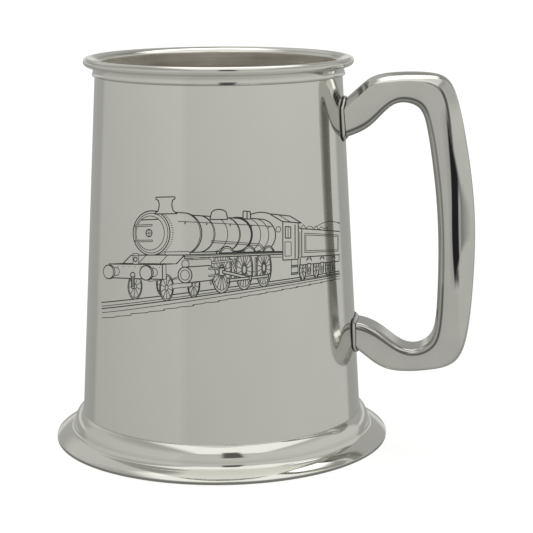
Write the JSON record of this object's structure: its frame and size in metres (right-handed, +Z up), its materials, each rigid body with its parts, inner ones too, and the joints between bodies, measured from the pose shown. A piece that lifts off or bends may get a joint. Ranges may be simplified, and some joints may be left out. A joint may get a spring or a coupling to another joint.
{
  "type": "tankard",
  "caption": "Lidless tapered pewter tankard with a rolled lip moulding, a soldered floor, a flared hollow foot and a cast loop handle.",
  "frame": {"origin": "on the drum's axis at table level, the centre of the foot's underside", "axes": "+Z up along the drum's axis; +X through the handle; +Y across the handle, away from a viewer who has the handle on the right"},
  "size_m": [0.1334, 0.1062, 0.1213],
  "materials": {
    "polished_pewter": "mirror-polished pewter sheet and turned mouldings",
    "cast_pewter": "polished pewter casting with small handling marks",
    "brushed_pewter": "pewter with turned brush lines",
    "solder": "dull, slightly dark solder line"
  },
  "bodies": {
    "root": {"barrel": "polished_pewter", "lip_moulding": "polished_pewter", "floor_disc": "brushed_pewter", "foot_ring": "polished_pewter", "handle": "cast_pewter", "rim_seam_solder": "solder", "floor_seam_solder": "solder", "foot_seam_solder": "solder", "upper_handle_solder": "solder", "lower_handle_solder": "solder"}
  },
  "joints": []
}
